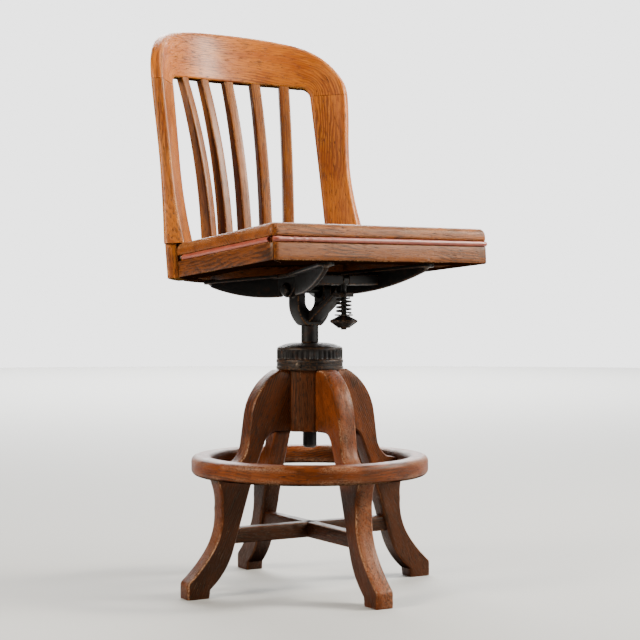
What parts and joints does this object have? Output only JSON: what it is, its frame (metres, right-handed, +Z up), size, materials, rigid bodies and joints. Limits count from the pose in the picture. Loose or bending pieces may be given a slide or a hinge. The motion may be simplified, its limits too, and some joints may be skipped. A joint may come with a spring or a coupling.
{
  "type": "swivel stool",
  "caption": "High wooden swivel stool with a curved slatted back, a sprung tilting seat, screw height adjustment by a hand wheel, and a ring foot rest on splayed legs.",
  "frame": {"origin": "on the floor, under the middle of the stool's bounding box", "axes": "+X to the sitter's left as seen from the front, which is the picture's right; +Y to the back; +Z up. The swivel axis stands 30 mm in front of the origin"},
  "size_m": [0.5014, 0.5696, 1.0296],
  "materials": {
    "back_oak": "worn varnish",
    "seat_oak": "worn varnish",
    "base_oak": "dark worn varnish",
    "dowel_wood": "bare",
    "cast_iron": "black, oily, worn at the edges",
    "worked_steel": "darkened and oiled",
    "screw_steel": "tarnished",
    "bead_rubber": "aged red-brown, shiny on its crown"
  },
  "bodies": {
    "base": {"leg_front": "base_oak", "leg_right": "base_oak", "leg_back": "base_oak", "leg_left": "base_oak", "foot_ring": "base_oak", "ring_dowels": "dowel_wood", "centre_column": "base_oak", "leg_dowels": "dowel_wood", "stretcher_side": "base_oak", "stretcher_fore_aft": "base_oak", "hub_flange": "cast_iron", "hub_lock_screw": "screw_steel", "hub_screws": "screw_steel"},
    "swivel_plate": {"thrust_washer": "worked_steel"},
    "wheel": {"hand_wheel": "cast_iron"},
    "spindle": {"screw_spindle": "worked_steel", "tilt_yoke": "cast_iron", "tilt_spring": "worked_steel"},
    "seat": {"seat_slab": "seat_oak", "front_rail": "seat_oak", "right_rail": "seat_oak", "left_rail": "seat_oak", "rear_rail": "seat_oak", "bumper_bead": "bead_rubber", "bumper_bead_left": "bead_rubber", "bead_tacks": "screw_steel", "left_post": "back_oak", "right_post": "back_oak", "crest_rail": "back_oak", "slat_left_outer": "back_oak", "slat_left_inner": "back_oak", "slat_centre": "back_oak", "slat_right_inner": "back_oak", "slat_right_outer": "back_oak", "post_dowels": "dowel_wood", "post_screws": "screw_steel", "seat_spider": "cast_iron", "spider_screws": "screw_steel", "pivot_pin": "worked_steel", "pivot_nut": "worked_steel", "pivot_spacers": "worked_steel", "rod_pin": "worked_steel"},
    "rod": {"tension_rod": "worked_steel", "spring_washer": "worked_steel"},
    "knob": {"tension_knob": "cast_iron"}
  },
  "joints": [
    {"name": "seat_swivel", "type": "hinge", "parent": "base", "child": "swivel_plate", "pos_m": [0, -0.03, 0.406], "axis": [0, 0, 1], "continuous": true},
    {"name": "hand_wheel_turn", "type": "hinge", "parent": "swivel_plate", "child": "wheel", "pos_m": [0, -0.03, 0.42], "axis": [0, 0, 1], "range_deg": [0, 4050]},
    {"name": "height_lift", "type": "slide", "parent": "swivel_plate", "child": "spindle", "axis": [0, 0, 1], "range_m": [0, 0.09]},
    {"name": "seat_tilt", "type": "hinge", "parent": "spindle", "child": "seat", "pos_m": [0, -0.03, 0.532], "axis": [-1, 0, 0], "range_deg": [0, 9], "stiffness_Nm_per_rad": 40, "springref_deg": -17.19, "deforming": ["tilt_spring"]},
    {"name": "rod_swing", "type": "hinge", "parent": "seat", "child": "rod", "pos_m": [0, -0.13506, 0.54874], "axis": [-1, 0, 0], "range_deg": [-9, 0]},
    {"name": "tension_knob_turn", "type": "hinge", "parent": "rod", "child": "knob", "pos_m": [0, -0.13506, 0.476], "axis": [0, 0, 1], "continuous": true}
  ],
  "couplings": [
    {"joint": "height_lift", "follows": "hand_wheel_turn", "m_per_rad": 0.0012732},
    {"joint": "rod_swing", "follows": "seat_tilt", "ratio": -1}
  ]
}
